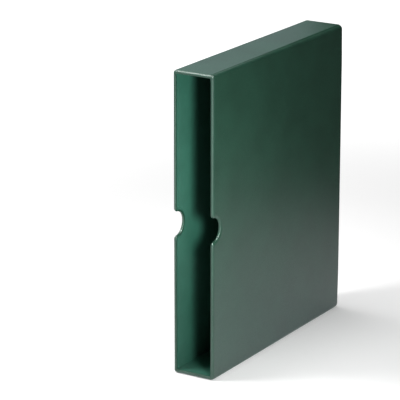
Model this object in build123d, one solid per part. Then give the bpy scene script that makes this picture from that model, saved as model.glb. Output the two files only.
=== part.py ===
from build123d import *
from math import sqrt
import os

# A slipcase for an album binder: an open box of glued boards, covered outside and lined inside.
# X runs across the case from the left side to the right one, the spine is at +Y and the mouth at -Y.
# Z is up, and the origin is the middle of the bottom. Sizes are in millimetres.

# Overall size
height = 325.0
depth = 270.0
width = 48.0

# Sheet materials
board_thickness = 3.0
cover_thickness = 0.4
lining_thickness = 0.25
tape_thickness = 0.15

# Rounds along the outer edges, and round the edges of the mouth and its notches
edge_round = 4.4
mouth_round = 2.2

# Thumb notch, halfway up the mouth edge of each side: a disc centred a little way in from the mouth
notch_radius = 12.8
notch_centre_in = 2.5
notch_lead_round = 4.0
notch_flange = 8.0

# Sheets that are turned in, folded over or laid on
turn_in = 14.0
flap_gap = 1.0
spine_flap = 20.0
strip_end_gap = 3.0
strip_side_gap = 0.05
lining_setback = 2.0

# Gummed paper stays over the glued joints
tape_reach = 12.0
tape_end_gap = 16.0

# Cutting blocks run this far past what they cut
past = 5.0

# Planes that several pieces share
mouth_y = -depth / 2
spine_y = depth / 2
board_mouth_y = mouth_y + cover_thickness
board_spine_y = spine_y - cover_thickness
inner_spine_y = board_spine_y - board_thickness
side_x = width / 2
board_side_x = side_x - cover_thickness
inner_side_x = board_side_x - board_thickness
flap_z = height - cover_thickness
board_top_z = flap_z - cover_thickness
inner_top_z = board_top_z - board_thickness
inner_floor_z = height - inner_top_z
middle_z = height / 2

# Room round a notch that holds all of its rim
notch_room = notch_radius + notch_lead_round + notch_flange

all_y = (mouth_y - past, spine_y + past)
all_z = (-past, height + past)


def block(x_range, y_range, z_range):
    """A plain block between two values on each axis."""
    ranges = (x_range, y_range, z_range)
    size = [high - low for low, high in ranges]
    centre = [(high + low) / 2 for low, high in ranges]
    return Pos(*centre) * Box(*size)


def across(outline, x_range):
    """An outline about the middle of the mouth's edge, with Y to its right and Z up, carried along X."""
    plane = Plane(origin=(x_range[0], mouth_y, middle_z), x_dir=(0, 1, 0), z_dir=(1, 0, 0))
    return extrude(plane * outline, x_range[1] - x_range[0])


def round_cutter(radius, x_range):
    """A disc about the notch's centre."""
    return across(Pos(notch_centre_in, 0) * Circle(radius), x_range)


def notch_cutter(offset, x_range):
    """The notch's opening, grown by an offset: a disc that meets the mouth in two rounded corners."""
    reach = notch_radius + notch_lead_round
    lead_in = notch_lead_round - notch_centre_in
    lead_z = sqrt(reach**2 - lead_in**2)
    grown = notch_radius + offset
    touch_y = notch_centre_in + lead_in * grown / reach
    opening = Pos((touch_y - past) / 2, 0) * Rectangle(touch_y + past, 2 * lead_z)
    for lead in (-lead_z, lead_z):
        opening -= Pos(notch_lead_round, lead) * Circle(notch_lead_round - offset)
    return across(opening + Pos(notch_centre_in, 0) * Circle(grown), x_range)


def on_mouth_rim(edge):
    """Whether an edge of a notched block runs round the outside of its mouth."""
    runs_back = edge.bounding_box().max.Y > mouth_y + notch_room
    centre = edge.center()
    spans_notch = abs(centre.X) < side_x / 2 and abs(centre.Z - middle_z) < notch_room
    return not runs_back and not spans_notch


def hull(inset, top):
    """A block set in on every side, alike above and below, with both notches cut and its edges rounded."""
    side = side_x - inset
    body = block((-side, side), (mouth_y + inset, spine_y - inset), (height - top, top))
    front_edges = body.edges().group_by(Axis.Y)[0]
    other_edges = [edge for edge in body.edges() if edge not in front_edges]
    body = fillet(other_edges, edge_round - inset)
    body -= notch_cutter(inset, (-width, width))
    rim = [edge for edge in body.edges() if on_mouth_rim(edge)]
    return fillet(rim, mouth_round - inset)


def wrap_hull():
    """The outside of the wrapped cover."""
    return hull(0, flap_z)


def board_hull(depth_in=0.0):
    """The outside of the glued boards, or a surface that lies a small depth inside it."""
    return hull(cover_thickness + depth_in, board_top_z - depth_in)


def upside_down(shape):
    """The same shape at the other end of the case, mirrored about half height."""
    return mirror(shape, Plane.XY.offset(middle_z))


def other_side(shape):
    """The same shape on the other side of the case."""
    return mirror(shape, Plane.YZ)


def make_wrap():
    """One sheet round side, spine and side, folded over onto head and tail and round the mouth's edges."""
    between = (-inner_side_x, inner_side_x)
    half_gap = flap_gap / 2
    sheet = wrap_hull() - board_hull()
    sheet -= block(between, (mouth_y - past, mouth_y + mouth_round), all_z)
    sheet -= block(
        between,
        (mouth_y - past, mouth_y + notch_room),
        (middle_z - notch_room, middle_z + notch_room),
    )
    sheet -= block((-half_gap, half_gap), (mouth_y - past, spine_y - spine_flap), all_z)
    turned = block(
        (inner_side_x, inner_side_x + cover_thickness),
        (board_mouth_y, mouth_y + turn_in),
        (inner_floor_z, inner_top_z),
    )
    turned -= round_cutter(notch_radius + notch_flange, (0, width))
    return sheet + turned + other_side(turned) - notch_cutter(mouth_round, (-width, width))


def make_head_cover():
    """A strip on the head, over the wrap's flaps, bent down over the mouth edge and turned in."""
    half = inner_side_x - strip_side_gap
    wide = (-half, half)
    strip = hull(0, height) & block(wide, (mouth_y, spine_y - strip_end_gap), (inner_top_z, height))
    strip -= wrap_hull() & block(wide, (mouth_y + mouth_round, spine_y), all_z)
    strip -= board_hull()
    turned_z = (inner_top_z, inner_top_z + cover_thickness)
    strip += block(wide, (board_mouth_y, mouth_y + turn_in), turned_z)
    lower_edge = strip.faces().sort_by(Axis.Y)[0].edges().filter_by(Axis.X).sort_by(Axis.Z)[0]
    return fillet(lower_edge, cover_thickness / 2)


def make_notch_edging():
    """The strip that covers the right side's rounded notch rim, with a flange turned in round it."""
    through = (inner_side_x, side_x)
    turned = (inner_side_x, inner_side_x + cover_thickness)
    flange = round_cutter(notch_radius + notch_flange, turned)
    flange &= block(turned, (board_mouth_y, spine_y), all_z)
    rim = (wrap_hull() - board_hull()) & notch_cutter(mouth_round, through)
    return rim + flange - notch_cutter(0, through)


def make_tapes():
    """Gummed paper stays, bent over the joints of the boards and pressed in flush."""
    skin = board_hull() - board_hull(tape_thickness)
    reach_x = (board_side_x - tape_reach, side_x)
    reach_y = (board_spine_y - tape_reach, spine_y)
    reach_z = (board_top_z - tape_reach, height)
    along_y = (mouth_y + tape_end_gap, spine_y - tape_end_gap)
    along_z = (tape_end_gap, height - tape_end_gap)
    along_x = (tape_end_gap - side_x, side_x - tape_end_gap)
    head_right = skin & block(reach_x, along_y, reach_z)
    spine_right = skin & block(reach_x, reach_y, along_z)
    spine_head = skin & block(along_x, reach_y, reach_z)
    return {
        "joint_tape_head_right": head_right,
        "joint_tape_head_left": other_side(head_right),
        "joint_tape_tail_right": upside_down(head_right),
        "joint_tape_tail_left": upside_down(other_side(head_right)),
        "joint_tape_spine_right": spine_right,
        "joint_tape_spine_left": other_side(spine_right),
        "joint_tape_spine_head": spine_head,
        "joint_tape_spine_tail": upside_down(spine_head),
    }


def make_boards(wrap, head_cover, edging, tapes):
    """Five boards glued edge to edge, let in where a sheet is turned in over them or pressed flush."""
    boards = board_hull()
    for tape in tapes.values():
        boards -= tape
    between = (-inner_side_x, inner_side_x)
    side = boards & block((inner_side_x, width), all_y, all_z)
    side -= edging
    side -= wrap
    head = boards & block(between, (mouth_y, inner_spine_y), (inner_top_z, height))
    head -= head_cover
    spine = boards & block(between, (inner_spine_y, spine_y), all_z)
    return {
        "side_board_right": side,
        "side_board_left": other_side(side),
        "head_board": head,
        "tail_board": upside_down(head),
        "spine_board": spine,
    }


def make_linings():
    """Thin sheets on the inner faces, set back from the mouth's edge and from the notches."""
    along_y = (mouth_y + lining_setback, inner_spine_y)
    lined_x = inner_side_x - lining_thickness
    lined_z = inner_top_z - lining_thickness
    lined_floor_z = inner_floor_z + lining_thickness
    side = block((lined_x, inner_side_x), along_y, (inner_floor_z, inner_top_z))
    side -= round_cutter(notch_radius + lining_setback, (0, width))
    head = block((-lined_x, lined_x), along_y, (lined_z, inner_top_z))
    spine = block(
        (-lined_x, lined_x),
        (inner_spine_y - lining_thickness, inner_spine_y),
        (lined_floor_z, lined_z),
    )
    return {
        "side_lining_right": side,
        "side_lining_left": other_side(side),
        "head_lining": head,
        "tail_lining": upside_down(head),
        "spine_lining": spine,
    }


def make_pieces():
    """Every piece of the case by its name."""
    wrap = make_wrap()
    head_cover = make_head_cover()
    edging = make_notch_edging()
    tapes = make_tapes()
    pieces = {
        "cover_wrap": wrap,
        "head_cover": head_cover,
        "tail_cover": upside_down(head_cover),
        "notch_edging_right": edging,
        "notch_edging_left": other_side(edging),
    }
    pieces.update(tapes)
    pieces.update(make_boards(wrap, head_cover, edging, tapes))
    pieces.update(make_linings())
    return pieces


os.makedirs("parts", exist_ok=True)
for name, piece in make_pieces().items():
    export_step(piece, f"parts/{name}.step")
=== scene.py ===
from math import acos, asin, atan2, cos, pi, radians, sin, sqrt

import bmesh
import bpy
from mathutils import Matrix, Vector, noise


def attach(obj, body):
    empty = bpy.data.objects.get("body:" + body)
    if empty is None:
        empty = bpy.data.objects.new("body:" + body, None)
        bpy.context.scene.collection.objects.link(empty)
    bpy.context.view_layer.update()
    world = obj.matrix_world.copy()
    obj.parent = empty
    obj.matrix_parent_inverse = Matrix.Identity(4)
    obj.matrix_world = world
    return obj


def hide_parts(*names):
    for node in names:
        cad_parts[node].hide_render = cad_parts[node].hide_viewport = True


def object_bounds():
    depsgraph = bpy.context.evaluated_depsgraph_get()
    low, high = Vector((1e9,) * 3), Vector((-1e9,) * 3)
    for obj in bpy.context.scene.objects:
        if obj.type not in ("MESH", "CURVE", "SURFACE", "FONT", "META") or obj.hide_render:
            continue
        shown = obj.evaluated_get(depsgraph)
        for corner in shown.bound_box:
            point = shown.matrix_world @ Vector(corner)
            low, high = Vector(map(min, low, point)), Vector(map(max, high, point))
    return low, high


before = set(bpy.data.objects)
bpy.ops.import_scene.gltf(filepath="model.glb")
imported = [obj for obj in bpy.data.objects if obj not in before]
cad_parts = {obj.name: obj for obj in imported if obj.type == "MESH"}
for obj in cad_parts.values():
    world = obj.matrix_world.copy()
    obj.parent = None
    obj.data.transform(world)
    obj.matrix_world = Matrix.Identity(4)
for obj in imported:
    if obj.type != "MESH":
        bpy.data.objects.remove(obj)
cad_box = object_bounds()

# Shapes are worked out in millimetres and handed to Blender in metres.
MM = 0.001

# The case's outer planes, from the box of the CAD model. The mouth is at -Y and the spine at +Y.
low_corner, high_corner = ([round(c / MM, 3) for c in corner] for corner in cad_box)
SIDE_X, SPINE_Y, HEAD_Z = high_corner
MOUTH_Y = low_corner[1]
MIDDLE_Z = HEAD_Z / 2

# Thickness of the covering sheets, the boards and the linings
COVER = 0.4
BOARD = 3.0
LINING = 0.25

# The wrap's flaps on head and tail, under the strips, and the pocket's walls
FLAP_HIGH = HEAD_Z - COVER
FLAP_LOW = COVER
INNER_X = SIDE_X - COVER - BOARD
INNER_SPINE_Y = SPINE_Y - COVER - BOARD
INNER_HIGH = HEAD_Z - 2 * COVER - BOARD
INNER_LOW = HEAD_Z - INNER_HIGH

# Where sheets end: the strips, the slot between the wrap's flaps, and what is turned in at the mouth
STRIP_X = INNER_X - 0.05
STRIP_END_Y = SPINE_Y - 3.0
SLOT_X = 0.5
SLOT_END_Y = SPINE_Y - 20.0
TURN_IN = 14.0

# The thumb notch: its radius, how far in its centre is, and the rounds that lead into it
NOTCH = 12.8
NOTCH_IN = 2.5
LEAD = 4.0

# Round the notch: the flange of its edging, and the lining, which stays back from the mouth alike
FLANGE = NOTCH + 8.0
LINING_SETBACK = 2.0
LINING_NOTCH = NOTCH + LINING_SETBACK

# The seam between wrap and edging: how far from the notch's opening it runs, and its gap
SEAM = 2.2
SEAM_GAP = 0.04

# Folds at the mouth: the outer one's length and depth, and the inner one's radius
FOLD = 3.4
FOLD_DEEP = 2.0
INNER_FOLD = 1.2

# The inner fold is this small in a corner of the mouth, and full this far from it
SMALLEST_FOLD = 0.01
FOLD_GROWS = 2.0

# A length that counts as none
HAIR = 0.001

# How round the long edges are, and where along the case and from its ends that changes
MOUTH_ROUND = 2.8
HEAD_ROUND = 5.2
TAIL_ROUND = 4.0
SPINE_ROUND = 4.9
UPRIGHT_ROUND = 3.6
SOFTENS_Y = (MOUTH_Y + 15, SPINE_Y - 25)
SPINE_BLEND_Y = (SPINE_Y - 23, SPINE_Y - 3)
END_BLEND = (5, 45)

# Nodes of the grids: distances from a long edge, behind the mouth, and on from a sheet's own end
EDGE_STEPS = (0.0, 0.45, 0.95, 1.5, 2.1, 2.8, 3.4, 4.2, 5.2)
FIRST_OFFSET = 3.7
MOUTH_STEPS = (27.0, 20.0, 14.0, 9.0, 6.0, FIRST_OFFSET)
TURN_IN_STEPS = (1.5, 5.0, 9.5, TURN_IN)
STRIP_END_STEPS = (0.0, 0.4, 2.0, 8.0)
STRIP_HALF = (0.0, 4.0, 8.0, 12.0, 15.5, 17.8, 18.9, 19.6, 20.1, 20.35, STRIP_X)
FLANGE_FRACTIONS = (0.15, 0.4, 0.7, 1.0)

# Round the notch the grids bend: how far above and below, how far back, and in how many steps
NOTCH_SPAN = 30.0
NOTCH_REACH_Y = MOUTH_Y + 35.0
BESIDE_NOTCH = 18.6
LEAD_STEPS = 6
ARC_STEPS = 26

# The same for the side linings, whose rows level out by a share of the way to the spine
LINING_SPAN = 34.0
BESIDE_LINING_NOTCH = 22.0
LINING_ARC_STEPS = 30
LINING_LEVEL_BY = 0.35

# Nodes beside the linings' edges: as shares of the way to the spine, and as distances from an edge
LINING_FRACTIONS = (0.0, 0.004, 0.02, 0.05, 0.09, 0.14)
LINING_MARGIN = 0.3
LINING_FRONT_STEPS = (0.0, 0.4, 2.5, 7.0)

# Waves in the glued sheets: depth, spacing, and how far behind the mouth they begin and are full
WAVE = 0.1
WAVE_SCALE = 0.021
WAVE_SHIFT = Vector((3.1, 7.7, 1.3))
WAVE_FLATNESS = 8
WAVE_FROM = (4, 30)

# The strips' own waves. They also sink at their end, and are pressed down along their sides.
STRIP_WAVE_SCALE = 0.03
STRIP_WAVE_FROM = (3, 30)
STRIP_SINK = 0.08
STRIP_SINK_FROM = 0.5
STRIP_PRESSED = 0.1
STRIP_PRESSED_FROM = 0.45

# The linings swell: how much, its spacing, its place in the noise, and the share of the way it takes
LINING_SWELL = 0.04
LINING_SWELL_SCALE = 0.03
LINING_SWELL_SHIFT = Vector((9.0, 2.0, 4.0))
SIDE_SWELL_X = 5.0
SIDE_SWELL_BY = 0.1

# Rounds along the sheets' cut edges, and the angles that count as cut and as sharp
COVER_CUT = 0.06
LINING_CUT = 0.04
CUT_ANGLE = radians(60)
SHARP_ANGLE = radians(38)


def clamp(value, low, high):
    return min(max(value, low), high)


def smooth(low, high, value):
    """Zero below low, one above high, and an even rise between them."""
    t = clamp((value - low) / (high - low), 0.0, 1.0)
    return t * t * (3 - 2 * t)


def mix(a, b, t):
    return a + (b - a) * t


def edge_radius(y, z):
    """How round the long edges are: crisp by the mouth, softer towards the spine."""
    along = smooth(*SOFTENS_Y, y)
    at_spine = smooth(*SPINE_BLEND_Y, y)
    head = mix(mix(MOUTH_ROUND, HEAD_ROUND, along), SPINE_ROUND, at_spine)
    tail = mix(mix(MOUTH_ROUND, TAIL_ROUND, along), SPINE_ROUND, at_spine)
    near, far = END_BLEND
    near_head = smooth(FLAP_HIGH - far, FLAP_HIGH - near, z)
    near_tail = 1 - smooth(FLAP_LOW + near, FLAP_LOW + far, z)
    return mix(mix(UPRIGHT_ROUND, head, near_head), tail, near_tail)


def on_hull(x, y, z):
    """Moves a point of the sharp box onto the rounded one. Returns it and the way out of the case."""
    r = edge_radius(y, z)
    core = Vector((
        clamp(x, -SIDE_X + r, SIDE_X - r),
        min(y, SPINE_Y - r),
        clamp(z, FLAP_LOW + r, FLAP_HIGH - r),
    ))
    out = (Vector((x, y, z)) - core).normalized()
    return core + out * r, out


def wavy(point, out):
    """A glued sheet is never quite flat: it sinks a little, and least where it turns over an edge."""
    swell = noise.noise(Vector(point) * WAVE_SCALE + WAVE_SHIFT)
    flat = max(abs(c) for c in out) ** WAVE_FLATNESS
    inside = smooth(MOUTH_Y + WAVE_FROM[0], MOUTH_Y + WAVE_FROM[1], point[1])
    return Vector(point) - Vector(out) * WAVE * (0.5 + 0.5 * swell) * flat * inside


def weld(name, grids, facing):
    """One open surface from grids of points, None where a grid has a gap. It faces the way given."""
    points, index = [], {}
    faces = set()
    order = []

    def vertex(p):
        key = tuple(round(c, 3) for c in p)
        if key not in index:
            index[key] = len(points)
            points.append(tuple(c * MM for c in p))
        return index[key]

    for rows in grids:
        for low, high in zip(rows, rows[1:]):
            for a, b, c, d in zip(low, low[1:], high[1:], high):
                if None in (a, b, c, d):
                    continue
                ring = []
                for v in (vertex(a), vertex(b), vertex(c), vertex(d)):
                    if v not in ring:
                        ring.append(v)
                if len(ring) > 2 and frozenset(ring) not in faces:
                    faces.add(frozenset(ring))
                    order.append(ring)
    mesh = bpy.data.meshes.new(name)
    mesh.from_pydata(points, [], order)
    shape = bmesh.new()
    shape.from_mesh(mesh)
    bmesh.ops.recalc_face_normals(shape, faces=shape.faces)
    way = Vector(facing)
    outermost = max(shape.faces, key=lambda f: f.calc_center_median().dot(way))
    if outermost.normal.dot(way) < 0:
        bmesh.ops.reverse_faces(shape, faces=shape.faces)
    for face in shape.faces:
        face.smooth = True
    shape.to_mesh(mesh)
    shape.free()
    return mesh


def sheet(name, grids, facing, thickness, cut_round):
    """A sheet of even thickness with slightly rounded cut edges. Its grids give the face that shows."""
    piece = bpy.data.objects.new(name, weld(name, grids, facing))
    bpy.context.scene.collection.objects.link(piece)
    solid = piece.modifiers.new("thickness", "SOLIDIFY")
    solid.thickness = thickness * MM
    solid.offset = -1
    solid.use_even_offset = True
    cut = piece.modifiers.new("cut edges", "BEVEL")
    cut.width = cut_round * MM
    cut.segments = 2
    cut.limit_method = "ANGLE"
    cut.angle_limit = CUT_ANGLE
    graph = bpy.context.evaluated_depsgraph_get()
    made = bpy.data.meshes.new_from_object(piece.evaluated_get(graph))
    piece.modifiers.clear()
    piece.data = made
    made.name = name
    made.set_sharp_from_angle(angle=SHARP_ANGLE)
    return piece


def mirrored(rows):
    """The same grid on the other side of the case."""
    return [[None if p is None else (-p[0], p[1], p[2]) for p in row] for row in rows]


def flipped(rows):
    """The same grid at the other end of the case."""
    return [[None if p is None else (p[0], p[1], 2 * MIDDLE_Z - p[2]) for p in row] for row in rows]


def spread(low, high, count):
    """Evenly spaced values, both ends among them."""
    return [mix(low, high, i / count) for i in range(count + 1)]


# How far from half height the centres of the rounds beside the notch are, and where they meet its arc
LEAD_Z = sqrt((NOTCH + LEAD)**2 - (LEAD - NOTCH_IN)**2)
TOUCH = atan2(LEAD_Z, LEAD - NOTCH_IN)


def notch_outline():
    """Points along the mouth's edge across the notch: (kind, y, z, the way into the board)."""
    rows = []
    for z in (-NOTCH_SPAN, -FLANGE, -BESIDE_NOTCH):
        rows.append(("straight", MOUTH_Y, MIDDLE_Z + z, (1.0, 0.0)))
    for angle in spread(0, TOUCH, LEAD_STEPS):
        into = (cos(angle), -sin(angle))
        kind = "straight" if angle == 0 else "notch"
        y = MOUTH_Y + LEAD - LEAD * into[0]
        z = MIDDLE_Z - LEAD_Z - LEAD * into[1]
        rows.append((kind, y, z, into))
    lower = list(rows)
    for angle in spread(-TOUCH, TOUCH, ARC_STEPS)[1:-1]:
        into = (cos(angle), sin(angle))
        y = MOUTH_Y + NOTCH_IN + NOTCH * into[0]
        rows.append(("notch", y, MIDDLE_Z + NOTCH * into[1], into))
    for kind, y, z, into in reversed(lower):
        rows.append((kind, y, 2 * MIDDLE_Z - z, (into[0], -into[1])))
    return rows


OUTLINE = notch_outline()
OUTLINE_Z = spread(MIDDLE_Z - NOTCH_SPAN, MIDDLE_Z + NOTCH_SPAN, len(OUTLINE) - 1)

# Nodes of the wrap across half the case, from the spine to the mouth, and up and down
HALF_X = [SLOT_X, 6.0, 12.0, 16.5] + [SIDE_X - e for e in reversed(EDGE_STEPS)]
FAR_Y = [SPINE_Y - e for e in EDGE_STEPS] + [SPINE_Y - 7.0, SPINE_Y - 13.0]
FAR_Y += spread(SLOT_END_Y, NOTCH_REACH_Y + 15.0, 16) + [NOTCH_REACH_Y]
NEAR_Y = [MOUTH_Y + d for d in MOUTH_STEPS]
TURNED_Y = [MOUTH_Y + d for d in TURN_IN_STEPS]
HIGH_Z = [FLAP_HIGH - e for e in EDGE_STEPS] + spread(HEAD_Z - 8.0, MIDDLE_Z + NOTCH_SPAN, 10)[:-1]
LOW_Z = [2 * MIDDLE_Z - z for z in reversed(HIGH_Z)]

# Steps of the folds as angles: before and after the seam round the notch, and round the inner edge
SEAM_TURN = asin(1 - SEAM / FOLD)
TURNS_TO_SEAM = spread(0, SEAM_TURN, 3)[1:]
TURNS_PAST_SEAM = spread(SEAM_TURN, pi / 2, 6)[1:]
TURNS = TURNS_TO_SEAM + TURNS_PAST_SEAM
INNER_TURNS = spread(0, pi / 2, 4)


def inner_fold(z):
    """Radius of the fold round the mouth's inner edge. It dies out where two sheets meet in a corner."""
    from_corner = min(INNER_HIGH - z, z - INNER_LOW)
    return mix(SMALLEST_FOLD, INNER_FOLD, smooth(0, FOLD_GROWS, from_corner))


def fold_round(point, out):
    """The sheet's way round the outer edge of the mouth, from a point FOLD behind the mouth."""
    folded = []
    for turn in TURNS:
        p = point - out * FOLD_DEEP * (1 - cos(turn))
        folded.append((p.x, MOUTH_Y + FOLD * (1 - sin(turn)), p.z))
    return folded


def fold_inside(start, z, has_turn_in):
    """From the outer fold across the mouth's edge, round its inner edge and on into the pocket."""
    r = inner_fold(z)
    row = [((start[0] + INNER_X + r) / 2, MOUTH_Y, z)]
    for turn in INNER_TURNS:
        row.append((INNER_X + r * (1 - sin(turn)), MOUTH_Y + r * (1 - cos(turn)), z))
    for y in TURNED_Y:
        row.append((INNER_X, y, z) if has_turn_in else None)
    return row


def wrap_row(x, z):
    """A row of the wrap from the spine to the mouth, at a point of the sharp box's outline."""
    row = []
    for y in FAR_Y + NEAR_Y:
        row.append(tuple(wavy(*on_hull(x, y, z))))
    last, out = on_hull(x, MOUTH_Y + FOLD, z)
    row.append(tuple(last))
    inside_count = 1 + len(INNER_TURNS) + len(TURNED_Y)
    if x < INNER_X - HAIR:
        return row + [None] * (len(TURNS) + inside_count)
    folded = fold_round(last, out)
    row += folded
    in_corner = abs(z - MIDDLE_Z) > INNER_HIGH - MIDDLE_Z + HAIR
    if not in_corner:
        return row + fold_inside(folded[-1], z, True)
    corner_z = INNER_HIGH if z > MIDDLE_Z else INNER_LOW
    corner = (INNER_X + inner_fold(corner_z), MOUTH_Y, corner_z)
    half_way = tuple((a + b) / 2 for a, b in zip(folded[-1], corner))
    return row + [half_way, corner] + [None] * (inside_count - 2)


def notch_row(number):
    """A row of the wrap that ends at the notch or, beside it, at the mouth."""
    kind, edge_y, edge_z, into = OUTLINE[number]
    level = OUTLINE_Z[number]
    row = [tuple(wavy(*on_hull(SIDE_X, y, level))) for y in FAR_Y]
    first = (edge_y + into[0] * FIRST_OFFSET, edge_z + into[1] * FIRST_OFFSET)
    for y in NEAR_Y:
        t = (y - NOTCH_REACH_Y) / (NEAR_Y[-1] - NOTCH_REACH_Y)
        flat = (SIDE_X, mix(NOTCH_REACH_Y, first[0], t), mix(level, first[1], t))
        row.append(tuple(wavy(flat, (1, 0, 0))) if t < 1 else flat)
    row.append((SIDE_X, edge_y + into[0] * FOLD, edge_z + into[1] * FOLD))
    for turn in TURNS:
        if kind == "notch" and turn > SEAM_TURN + HAIR:
            row.append(None)
            continue
        offset = FOLD * (1 - sin(turn))
        x = SIDE_X - FOLD_DEEP * (1 - cos(turn))
        row.append((x, edge_y + into[0] * offset, edge_z + into[1] * offset))
    if kind == "notch":
        return row + [None] * (1 + len(INNER_TURNS) + len(TURNED_Y))
    beyond_flange = abs(edge_z - MIDDLE_Z) >= FLANGE - HAIR
    return row + fold_inside(row[-1], edge_z, beyond_flange)


def build_wrap():
    """One sheet round side, spine and side, with its flaps on head and tail and its turned-in edges."""
    half = [wrap_row(x, FLAP_HIGH) for x in HALF_X]
    half += [wrap_row(SIDE_X, z) for z in HIGH_Z[1:]]
    half += [notch_row(i) for i in reversed(range(len(OUTLINE)))]
    half += [wrap_row(SIDE_X, z) for z in LOW_Z[:-1]]
    half += [wrap_row(x, FLAP_LOW) for x in reversed(HALF_X)]
    grids = [half, mirrored(half)]
    bridge_y = [y for y in FAR_Y if y >= SLOT_END_Y]
    for z in (FLAP_HIGH, FLAP_LOW):
        grids.append([[tuple(wavy(*on_hull(x, y, z))) for y in bridge_y] for x in (-SLOT_X, SLOT_X)])
    all_x = [-x for x in reversed(HALF_X)] + HALF_X
    all_z = HIGH_Z + list(reversed(OUTLINE_Z)) + LOW_Z
    grids.append([[tuple(wavy(*on_hull(x, SPINE_Y, z))) for x in all_x] for z in all_z])
    return grids


def strip_z(x, y):
    """The head strip lies on the wrap, so its edges follow the wrap's rounding down."""
    point, _ = on_hull(x, y, FLAP_HIGH)
    pressed = STRIP_PRESSED * smooth(STRIP_X - STRIP_PRESSED_FROM, STRIP_X, abs(x))
    return point.z + COVER - pressed


def build_strip():
    """The strip on the head: over the wrap's flaps, down over the mouth's edge and turned in."""
    xs = [-x for x in reversed(STRIP_HALF[1:])] + list(STRIP_HALF)
    ys = [STRIP_END_Y - d for d in STRIP_END_STEPS] + [y for y in FAR_Y if y <= SLOT_END_Y] + NEAR_Y
    rows = []
    for x in xs:
        row = []
        for y in ys:
            sink = WAVE * (0.5 + 0.5 * noise.noise(Vector((x, y, 0)) * STRIP_WAVE_SCALE))
            sink *= smooth(MOUTH_Y + STRIP_WAVE_FROM[0], MOUTH_Y + STRIP_WAVE_FROM[1], y)
            sink += STRIP_SINK * smooth(STRIP_END_Y - STRIP_SINK_FROM, STRIP_END_Y, y)
            row.append((x, y, strip_z(x, y) - sink))
        top = strip_z(x, MOUTH_Y + FOLD)
        row.append((x, MOUTH_Y + FOLD, top))
        for turn in TURNS:
            drop = (FOLD_DEEP + COVER) * (1 - cos(turn))
            row.append((x, MOUTH_Y + FOLD * (1 - sin(turn)), top - drop))
        row.append((x, MOUTH_Y, (row[-1][2] + INNER_HIGH + INNER_FOLD) / 2))
        for turn in INNER_TURNS:
            y = MOUTH_Y + INNER_FOLD * (1 - cos(turn))
            row.append((x, y, INNER_HIGH + INNER_FOLD * (1 - sin(turn))))
        row += [(x, y, INNER_HIGH) for y in TURNED_Y]
        rows.append(row)
    return rows


def build_edging():
    """The strip that lines the right side's notch, with its flange turned in round it."""
    rows = []
    notch = [row for row in OUTLINE if abs(row[2] - MIDDLE_Z) <= LEAD_Z + HAIR]
    turns = [asin(1 - (SEAM - SEAM_GAP) / FOLD)] + TURNS_PAST_SEAM
    widest = acos((INNER_FOLD - NOTCH_IN) / FLANGE)
    angles = spread(-widest, widest, len(notch) - 1)
    for (kind, y, z, into), angle in zip(notch, angles):
        row = []
        for turn in turns:
            offset = FOLD * (1 - sin(turn))
            x = SIDE_X - FOLD_DEEP * (1 - cos(turn))
            row.append((x, y + into[0] * offset, z + into[1] * offset))
        row.append(((SIDE_X - FOLD_DEEP + INNER_X + INNER_FOLD) / 2, y, z))
        for turn in INNER_TURNS:
            offset = INNER_FOLD * (1 - cos(turn))
            x = INNER_X + INNER_FOLD * (1 - sin(turn))
            row.append((x, y + into[0] * offset, z + into[1] * offset))
        inner = row[-1]
        outer = (INNER_X, MOUTH_Y + NOTCH_IN + FLANGE * cos(angle), MIDDLE_Z + FLANGE * sin(angle))
        for t in FLANGE_FRACTIONS:
            row.append(tuple(mix(a, b, t) for a, b in zip(inner, outer)))
        rows.append(row)
    return rows


def build_side_lining():
    """The lining of the right side's inner face, cut back from the mouth and round the notch."""
    face_x = INNER_X - LINING
    front = MOUTH_Y + LINING_SETBACK
    widest = acos((LINING_SETBACK - NOTCH_IN) / LINING_NOTCH)
    angles = spread(-widest, widest, LINING_ARC_STEPS)
    levels = spread(MIDDLE_Z - LINING_SPAN, MIDDLE_Z + LINING_SPAN, len(angles) + 1)
    edge = [(front, MIDDLE_Z - BESIDE_LINING_NOTCH)]
    for a in angles:
        edge.append((MOUTH_Y + NOTCH_IN + LINING_NOTCH * cos(a), MIDDLE_Z + LINING_NOTCH * sin(a)))
    edge.append((front, MIDDLE_Z + BESIDE_LINING_NOTCH))
    lower_z = [INNER_LOW, INNER_LOW + LINING_MARGIN, INNER_LOW + 3.0]
    lower_z += spread(20.0, MIDDLE_Z - LINING_SPAN, 6)
    upper_z = [2 * MIDDLE_Z - z for z in reversed(lower_z)]
    starts = [(front, z) for z in lower_z] + edge + [(front, z) for z in upper_z]
    ends = lower_z + levels + upper_z
    rows = []
    for (y0, z0), z1 in zip(starts, ends):
        row = []
        for t in list(LINING_FRACTIONS) + spread(0.2, 1.0, 12):
            y = mix(y0, INNER_SPINE_Y, t)
            z = mix(z0, z1, smooth(0, LINING_LEVEL_BY, t))
            swell = noise.noise(Vector((SIDE_SWELL_X, y, z)) * LINING_SWELL_SCALE)
            swell *= LINING_SWELL * smooth(0, SIDE_SWELL_BY, t)
            row.append((face_x + swell, y, z))
        rows.append(row)
    return rows


def flat_lining(across, along, place):
    """A lining sheet given by its nodes both ways and how a pair of them becomes a point."""
    rows = []
    for a in across:
        row = []
        for b in along:
            flat = Vector(place(a, b, 0.0))
            swell = noise.noise(flat * LINING_SWELL_SCALE + LINING_SWELL_SHIFT)
            row.append(place(a, b, LINING_SWELL * swell))
        rows.append(row)
    return rows


def head_lining_point(x, y, swell):
    return (x, y, INNER_HIGH - LINING + swell)


def spine_lining_point(x, z, swell):
    return (x, INNER_SPINE_Y - LINING - abs(swell), z)


LINED_X = INNER_X - LINING
LINED_BY = LINED_X - LINING_MARGIN
LINING_X = [-LINED_X, -LINED_BY] + spread(-18, 18, 8) + [LINED_BY, LINED_X]


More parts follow.
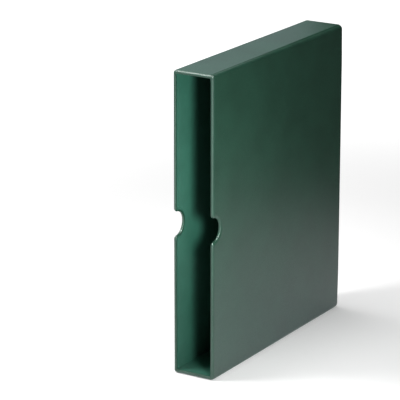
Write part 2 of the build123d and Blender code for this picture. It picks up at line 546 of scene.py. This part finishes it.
def build_head_lining():
    """The lining of the pocket's top, between the side linings."""
    along = [MOUTH_Y + LINING_SETBACK + d for d in LINING_FRONT_STEPS]
    along += spread(MOUTH_Y + 17.0, SPINE_Y - 7.0, 20) + [INNER_SPINE_Y]
    return flat_lining(LINING_X, along, head_lining_point)


def build_spine_lining():
    """The lining of the pocket's back, between the other linings."""
    up = spread(INNER_LOW + LINING, INNER_HIGH - LINING, 24)
    return flat_lining(LINING_X, up, spine_lining_point)


# Materials

def colour(r, g, b):
    return (r, g, b, 1.0)


DEEP_GREEN = colour(0.0100, 0.0480, 0.0280)
MIDDLE_GREEN = colour(0.0135, 0.0610, 0.0365)
GROOVE_GREEN = colour(0.006, 0.030, 0.018)
RUBBED_GREEN = colour(0.06, 0.12, 0.09)
PAPER_GREEN = colour(0.024, 0.100, 0.069)
PALER_PAPER_GREEN = colour(0.029, 0.117, 0.081)
FIBRE_GREEN = colour(0.038, 0.140, 0.100)
DARK_GREY = colour(0.34, 0.315, 0.28)
PALE_GREY = colour(0.46, 0.43, 0.39)
FLECK_GREY = colour(0.16, 0.14, 0.12)
DARK_BROWN = colour(0.48, 0.36, 0.24)
MIDDLE_BROWN = colour(0.54, 0.42, 0.28)
PALE_BROWN = colour(0.66, 0.54, 0.40)


def socket(node, name, value):
    node.inputs[name].default_value = value


class Paint:
    """A short way to write a node material."""

    def __init__(self, name):
        self.material = bpy.data.materials.new(name)
        self.material.use_nodes = True
        self.tree = self.material.node_tree
        self.shader = self.tree.nodes["Principled BSDF"]
        coordinates = self.add("ShaderNodeTexCoord")
        self.place = coordinates.outputs["Object"]
        self.normal = coordinates.outputs["Normal"]

    def add(self, kind, **settings):
        node = self.tree.nodes.new(kind)
        for key, value in settings.items():
            setattr(node, key, value)
        return node

    def link(self, source, target):
        self.tree.links.new(source, target)

    def noise(self, scale, detail=3.0, rough=0.55, stretch=(1, 1, 1)):
        place = self.place
        if stretch != (1, 1, 1):
            mapping = self.add("ShaderNodeMapping")
            mapping.inputs["Scale"].default_value = stretch
            self.link(place, mapping.inputs["Vector"])
            place = mapping.outputs["Vector"]
        node = self.add("ShaderNodeTexNoise")
        socket(node, "Scale", scale)
        socket(node, "Detail", detail)
        socket(node, "Roughness", rough)
        self.link(place, node.inputs["Vector"])
        return node.outputs["Fac"]

    def cells(self, scale, feature="F1", randomness=1.0):
        node = self.add("ShaderNodeTexVoronoi", feature=feature)
        socket(node, "Scale", scale)
        socket(node, "Randomness", randomness)
        self.link(self.place, node.inputs["Vector"])
        return node.outputs["Distance"]

    def ramp(self, value, low, high, to_low=0.0, to_high=1.0):
        node = self.add("ShaderNodeMapRange", interpolation_type="SMOOTHSTEP")
        socket(node, "From Min", low)
        socket(node, "From Max", high)
        socket(node, "To Min", to_low)
        socket(node, "To Max", to_high)
        self.link(value, node.inputs["Value"])
        return node.outputs["Result"]

    def math(self, operation, a, b):
        node = self.add("ShaderNodeMath", operation=operation)
        for slot, value in zip(node.inputs, (a, b)):
            if isinstance(value, (int, float)):
                slot.default_value = value
            else:
                self.link(value, slot)
        return node.outputs[0]

    def blend(self, factor, a, b):
        node = self.add("ShaderNodeMix", data_type="RGBA")
        for name, value in (("Factor_Float", factor), ("A_Color", a), ("B_Color", b)):
            target = next(s for s in node.inputs if s.identifier == name)
            if isinstance(value, (tuple, float)):
                target.default_value = value
            else:
                self.link(value, target)
        return next(s for s in node.outputs if s.identifier == "Result_Color")

    def edges(self):
        """One where the surface turns over an edge, zero on its flats."""
        split = self.add("ShaderNodeSeparateXYZ")
        self.link(self.normal, split.inputs[0])
        size = [self.math("ABSOLUTE", s, 0.0) for s in split.outputs]
        largest = self.math("MAXIMUM", self.math("MAXIMUM", size[0], size[1]), size[2])
        return self.ramp(largest, 0.98, 0.72)

    def bump(self, heights):
        """Several heights, each with its own depth in millimetres, one on another."""
        below = None
        for height, depth in heights:
            node = self.add("ShaderNodeBump")
            socket(node, "Strength", 1.0)
            socket(node, "Distance", depth * MM)
            self.link(height, node.inputs["Height"])
            if below is not None:
                self.link(below, node.inputs["Normal"])
            below = node.outputs["Normal"]
        self.link(below, self.shader.inputs["Normal"])

    def set(self, **values):
        for name, value in values.items():
            target = self.shader.inputs[name.replace("_", " ")]
            if isinstance(value, (int, float, tuple)):
                target.default_value = value
            else:
                self.link(value, target)


def leatherette():
    """Satin leatherette: fine pebbled grain, slightly uneven in tone, a little rubbed at the edges."""
    p = Paint("satin_leatherette")
    pebbles = p.ramp(p.cells(950, "DISTANCE_TO_EDGE"), 0.0, 0.32)
    fine = p.noise(3600, 4.0, 0.6)
    cloudy = p.noise(26, 3.0, 0.6)
    broad = p.noise(7, 2.0, 0.5)
    tone = p.blend(p.ramp(cloudy, 0.3, 0.7), DEEP_GREEN, MIDDLE_GREEN)
    tone = p.blend(p.ramp(pebbles, 0.0, 1.0, 0.35, 0.0), tone, GROOVE_GREEN)
    scuffs = p.math("MULTIPLY", p.edges(), p.ramp(p.noise(160, 4.0, 0.7), 0.45, 0.75))
    tone = p.blend(p.math("MULTIPLY", scuffs, 0.35), tone, RUBBED_GREEN)
    p.set(Base_Color=tone)
    rough = p.math("ADD", p.ramp(broad, 0.3, 0.7, 0.31, 0.35), p.ramp(pebbles, 0.0, 1.0, 0.08, 0.0))
    p.set(Roughness=p.math("ADD", rough, p.math("MULTIPLY", scuffs, 0.12)))
    p.set(IOR=1.6)
    p.bump([(broad, 0.6), (pebbles, 0.035), (fine, 0.012)])
    return p.material


def lining_paper():
    """Matt dyed paper with short fibres."""
    p = Paint("dyed_paper")
    fibres = p.noise(900, 5.0, 0.65, (1.0, 1.0, 0.35))
    cloudy = p.noise(40, 3.0, 0.6)
    tone = p.blend(p.ramp(cloudy, 0.3, 0.7), PAPER_GREEN, PALER_PAPER_GREEN)
    tone = p.blend(p.ramp(fibres, 0.35, 0.7, 0.0, 0.25), tone, FIBRE_GREEN)
    p.set(Base_Color=tone, Roughness=p.ramp(fibres, 0.3, 0.7, 0.78, 0.9))
    p.set(IOR=1.3)
    p.bump([(fibres, 0.02)])
    return p.material


def greyboard():
    """Pressed grey board with darker flecks."""
    p = Paint("pressed_board")
    pulp = p.noise(700, 5.0, 0.7)
    flecks = p.ramp(p.cells(420), 0.05, 0.16, 1.0, 0.0)
    tone = p.blend(p.ramp(pulp, 0.3, 0.7), DARK_GREY, PALE_GREY)
    tone = p.blend(p.math("MULTIPLY", flecks, 0.4), tone, FLECK_GREY)
    p.set(Base_Color=tone, Roughness=p.ramp(pulp, 0.3, 0.7, 0.85, 0.95))
    p.bump([(pulp, 0.05)])
    return p.material


def gummed_paper():
    """Brown gummed paper with fine lines along it."""
    p = Paint("brown_gummed_paper")
    lines = p.noise(900, 3.0, 0.5, (1.0, 1.0, 0.05))
    cloudy = p.noise(60, 3.0, 0.6)
    tone = p.blend(p.ramp(lines, 0.35, 0.65), MIDDLE_BROWN, PALE_BROWN)
    p.set(Base_Color=p.blend(p.ramp(cloudy, 0.3, 0.7, 0.0, 0.3), tone, DARK_BROWN))
    p.set(Roughness=p.ramp(lines, 0.3, 0.7, 0.5, 0.65))
    p.bump([(lines, 0.02)])
    return p.material


LEATHERETTE = leatherette()
LINING_PAPER = lining_paper()
GREYBOARD = greyboard()
GUMMED_PAPER = gummed_paper()


def place_sheet(name, grids, facing, thickness, cut_round, material, node):
    """Builds a piece on the case, in place of its CAD node."""
    piece = sheet(name, grids, facing, thickness, cut_round)
    piece.data.materials.clear()
    piece.data.materials.append(material)
    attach(piece, "root")
    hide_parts(node)


def cover(name, grids, facing, node):
    place_sheet(name, grids, facing, COVER, COVER_CUT, LEATHERETTE, node)


def lining(name, grids, facing, node):
    place_sheet(name, grids, facing, LINING, LINING_CUT, LINING_PAPER, node)


cover("wrap_sheet", build_wrap(), (1, 0, 0), "cover_wrap")
strip = build_strip()
cover("head_strip", [strip], (0, 0, 1), "head_cover")
cover("tail_strip", [flipped(strip)], (0, 0, -1), "tail_cover")
edging = build_edging()
cover("notch_edging_near", [edging], (1, 0, 0), "notch_edging_right")
cover("notch_edging_far", [mirrored(edging)], (-1, 0, 0), "notch_edging_left")

side = build_side_lining()
lining("lining_near", [side], (-1, 0, 0), "side_lining_right")
lining("lining_far", [mirrored(side)], (1, 0, 0), "side_lining_left")
head = build_head_lining()
lining("lining_head", [head], (0, 0, -1), "head_lining")
lining("lining_tail", [flipped(head)], (0, 0, 1), "tail_lining")
lining("lining_spine", [build_spine_lining()], (0, -1, 0), "spine_lining")

for node_name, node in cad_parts.items():
    if "board" in node_name or "tape" in node_name:
        material = GUMMED_PAPER if "tape" in node_name else GREYBOARD
        node.data.materials.clear()
        node.data.materials.append(material)

# Camera, at the photograph's angle

# Its place in metres, how far it looks down and is turned in degrees, and its lens in millimetres
CAMERA_PLACE = (1.230458, -2.095718, 0.904513)
CAMERA_DOWN = 17.110
CAMERA_TURNED = 31.933
CAMERA_LENS = 214.95

camera_data = bpy.data.cameras.new("camera")
camera_data.sensor_width = 36.0
camera_data.lens = CAMERA_LENS
camera_data.clip_end = 50.0
camera = bpy.data.objects.new("camera", camera_data)
camera.location = CAMERA_PLACE
camera.rotation_euler = (radians(90 - CAMERA_DOWN), 0, radians(CAMERA_TURNED))
bpy.context.scene.collection.objects.link(camera)
bpy.context.scene.camera = camera

# Floor, lamps and surroundings

# The floor's glow: from where to where it changes, in metres from the case, and its strengths there
LIFT_CLOSE = (0.06, 0.34, 0.21, 0.0)
LIFT_FAR = (0.5, 1.3, 0.22, 0.9)

# Half the floor's width and its height, in metres, and its tone
FLOOR_HALF = 8.0
FLOOR_Z = -0.0001
FLOOR_TONE = colour(0.82, 0.82, 0.82)

# The dark card: its line on the floor and its height, in metres, and its level
FLAG_LINE = ((-0.15, 0.39), (0.05, 0.39), (0.17, 0.48), (0.6, 0.05))
FLAG_TOP = 1.6
FLAG_LEVEL = 0.06

# The backdrop as gloss shows it, the tint of what gloss shows, and the even light from all round
BACKDROP = 0.49
COOL = colour(0.95, 1.0, 1.12)
WHITE = colour(1.0, 1.0, 1.0)
ROOM_LEVEL = 0.05


def background_rays(tree):
    """One for the rays that meet the backdrop: the camera's, and those off gloss and through glass."""
    path = tree.nodes.new("ShaderNodeLightPath")
    total = path.outputs["Is Camera Ray"]
    for name in ("Is Glossy Ray", "Is Transmission Ray"):
        node = tree.nodes.new("ShaderNodeMath")
        node.operation = "MAXIMUM"
        tree.links.new(total, node.inputs[0])
        tree.links.new(path.outputs[name], node.inputs[1])
        total = node.outputs[0]
    return total


def for_camera(tree, kind, other, seen):
    """One value for the camera's own rays and another for all other rays."""
    path = tree.nodes.new("ShaderNodeLightPath")
    node = tree.nodes.new("ShaderNodeMix")
    node.data_type = {"Float": "FLOAT", "Color": "RGBA"}[kind]
    for name, value in (("A_" + kind, other), ("B_" + kind, seen)):
        next(s for s in node.inputs if s.identifier == name).default_value = value
    factor = next(s for s in node.inputs if s.identifier == "Factor_Float")
    tree.links.new(path.outputs["Is Camera Ray"], factor)
    return next(s for s in node.outputs if s.identifier == "Result_" + kind)


def surroundings(name, corners, faces):
    """A plain mesh with a material of its own. Returns the object and the material's nodes."""
    mesh = bpy.data.meshes.new(name)
    mesh.from_pydata(corners, [], faces)
    material = bpy.data.materials.new(name)
    material.use_nodes = True
    mesh.materials.append(material)
    made = bpy.data.objects.new(name, mesh)
    bpy.context.scene.collection.objects.link(made)
    return made, material.node_tree


def floor_glow(tree):
    """The floor's glow by distance: a close ring that only gloss sees, and a far one for all."""
    glow = tree.nodes.new("ShaderNodeEmission")
    place = tree.nodes.new("ShaderNodeNewGeometry")
    length = tree.nodes.new("ShaderNodeVectorMath")
    length.operation = "LENGTH"
    tree.links.new(for_camera(tree, "Color", COOL, WHITE), glow.inputs["Color"])
    tree.links.new(place.outputs["Position"], length.inputs[0])
    lift = tree.nodes.new("ShaderNodeMath")
    lift.operation = "MULTIPLY_ADD"
    tree.links.new(for_camera(tree, "Float", 1.0, 0.0), lift.inputs[1])
    for slot, (start, end, low, high) in zip((lift.inputs[0], lift.inputs[2]), (LIFT_CLOSE, LIFT_FAR)):
        ring = tree.nodes.new("ShaderNodeMapRange")
        ring.interpolation_type = "SMOOTHSTEP"
        socket(ring, "From Min", start)
        socket(ring, "From Max", end)
        socket(ring, "To Min", low)
        socket(ring, "To Max", high)
        tree.links.new(length.outputs["Value"], ring.inputs["Value"])
        tree.links.new(ring.outputs["Result"], slot)
    tree.links.new(lift.outputs[0], glow.inputs["Strength"])
    return glow


def make_floor():
    """A pale floor that keeps the case's shadow, and that glows a little to the camera and to gloss."""
    signs = ((-1, -1), (1, -1), (1, 1), (-1, 1))
    corners = [(x * FLOOR_HALF, y * FLOOR_HALF, FLOOR_Z) for x, y in signs]
    floor, tree = surroundings("floor", corners, [(0, 1, 2, 3)])
    shader = tree.nodes["Principled BSDF"]
    socket(shader, "Base Color", FLOOR_TONE)
    socket(shader, "Roughness", 0.9)
    socket(shader, "Specular IOR Level", 0.0)
    glow = floor_glow(tree)
    add = tree.nodes.new("ShaderNodeAddShader")
    choose = tree.nodes.new("ShaderNodeMixShader")
    tree.links.new(background_rays(tree), choose.inputs[0])
    tree.links.new(shader.outputs[0], add.inputs[0])
    tree.links.new(glow.outputs[0], add.inputs[1])
    tree.links.new(shader.outputs[0], choose.inputs[1])
    tree.links.new(add.outputs[0], choose.inputs[2])
    tree.links.new(choose.outputs[0], tree.nodes["Material Output"].inputs["Surface"])


def make_flag():
    """A dark card that the satin sides mirror, so that the pale veil on them grows downwards."""
    corners = [(x, y, z) for x, y in FLAG_LINE for z in (0, FLAG_TOP)]
    faces = [(i, i + 2, i + 3, i + 1) for i in range(0, len(corners) - 2, 2)]
    flag, tree = surroundings("flag", corners, faces)
    glow = tree.nodes.new("ShaderNodeEmission")
    socket(glow, "Strength", FLAG_LEVEL)
    tree.links.new(glow.outputs[0], tree.nodes["Material Output"].inputs["Surface"])
    flag.visible_camera = False
    flag.visible_diffuse = False
    flag.visible_shadow = False
    flag.visible_transmission = False


def make_lamp(name, azimuth, elevation, distance, size, power, aim, beam=180):
    """A soft round lamp, placed round a point that it faces."""
    data = bpy.data.lights.new(name, "AREA")
    data.shape = "DISK"
    data.size = size
    data.energy = power
    data.spread = radians(beam)
    lamp = bpy.data.objects.new(name, data)
    a, e = radians(azimuth), radians(elevation)
    way = Vector((sin(a) * cos(e), -cos(a) * cos(e), sin(e)))
    lamp.location = Vector(aim) + way * distance
    lamp.rotation_euler = way.to_track_quat("Z", "Y").to_euler()
    lamp.visible_camera = False
    bpy.context.scene.collection.objects.link(lamp)
    return lamp


def make_world():
    """An even soft light from all round, and a pale backdrop for the camera and for gloss."""
    world = bpy.data.worlds.new("studio")
    world.use_nodes = True
    tree = world.node_tree
    soft = tree.nodes["Background"]
    socket(soft, "Color", WHITE)
    socket(soft, "Strength", ROOM_LEVEL)
    white = tree.nodes.new("ShaderNodeBackground")
    tree.links.new(for_camera(tree, "Color", COOL, WHITE), white.inputs["Color"])
    tree.links.new(for_camera(tree, "Float", BACKDROP, 1.0), white.inputs["Strength"])
    choose = tree.nodes.new("ShaderNodeMixShader")
    tree.links.new(background_rays(tree), choose.inputs[0])
    tree.links.new(soft.outputs[0], choose.inputs[1])
    tree.links.new(white.outputs[0], choose.inputs[2])
    tree.links.new(choose.outputs[0], tree.nodes["World Output"].inputs["Surface"])
    bpy.context.scene.world = world


make_floor()
make_flag()
make_world()
key = make_lamp(
    "key", azimuth=54, elevation=13.6, distance=0.495,
    size=0.135, power=0.83, aim=(0.0, -0.14, 0.195), beam=84,
)
key.visible_glossy = False
sheen = make_lamp(
    "sheen", azimuth=54, elevation=0, distance=0.49,
    size=0.28, power=0.32, aim=(0.0, -0.14, 0.17), beam=96,
)
sheen.visible_diffuse = False
glint = make_lamp(
    "glint", azimuth=66, elevation=51, distance=0.5,
    size=0.2, power=0.3, aim=(0.024, -0.13, 0.1625), beam=30,
)
glint.visible_diffuse = False
make_lamp(
    "over", azimuth=-90, elevation=82, distance=1.5,
    size=0.8, power=16.5, aim=(0.0, 0.06, 0.3),
)
make_lamp(
    "front_left", azimuth=-60, elevation=54, distance=0.55,
    size=0.2, power=4.0, aim=(0.0, -0.135, 0.325),
)
left = make_lamp(
    "left", azimuth=-95, elevation=20, distance=1.6,
    size=0.8, power=8.0, aim=(0.0, 0.0, 0.17),
)
left.visible_glossy = False

bpy.context.scene.view_settings.view_transform = "Standard"
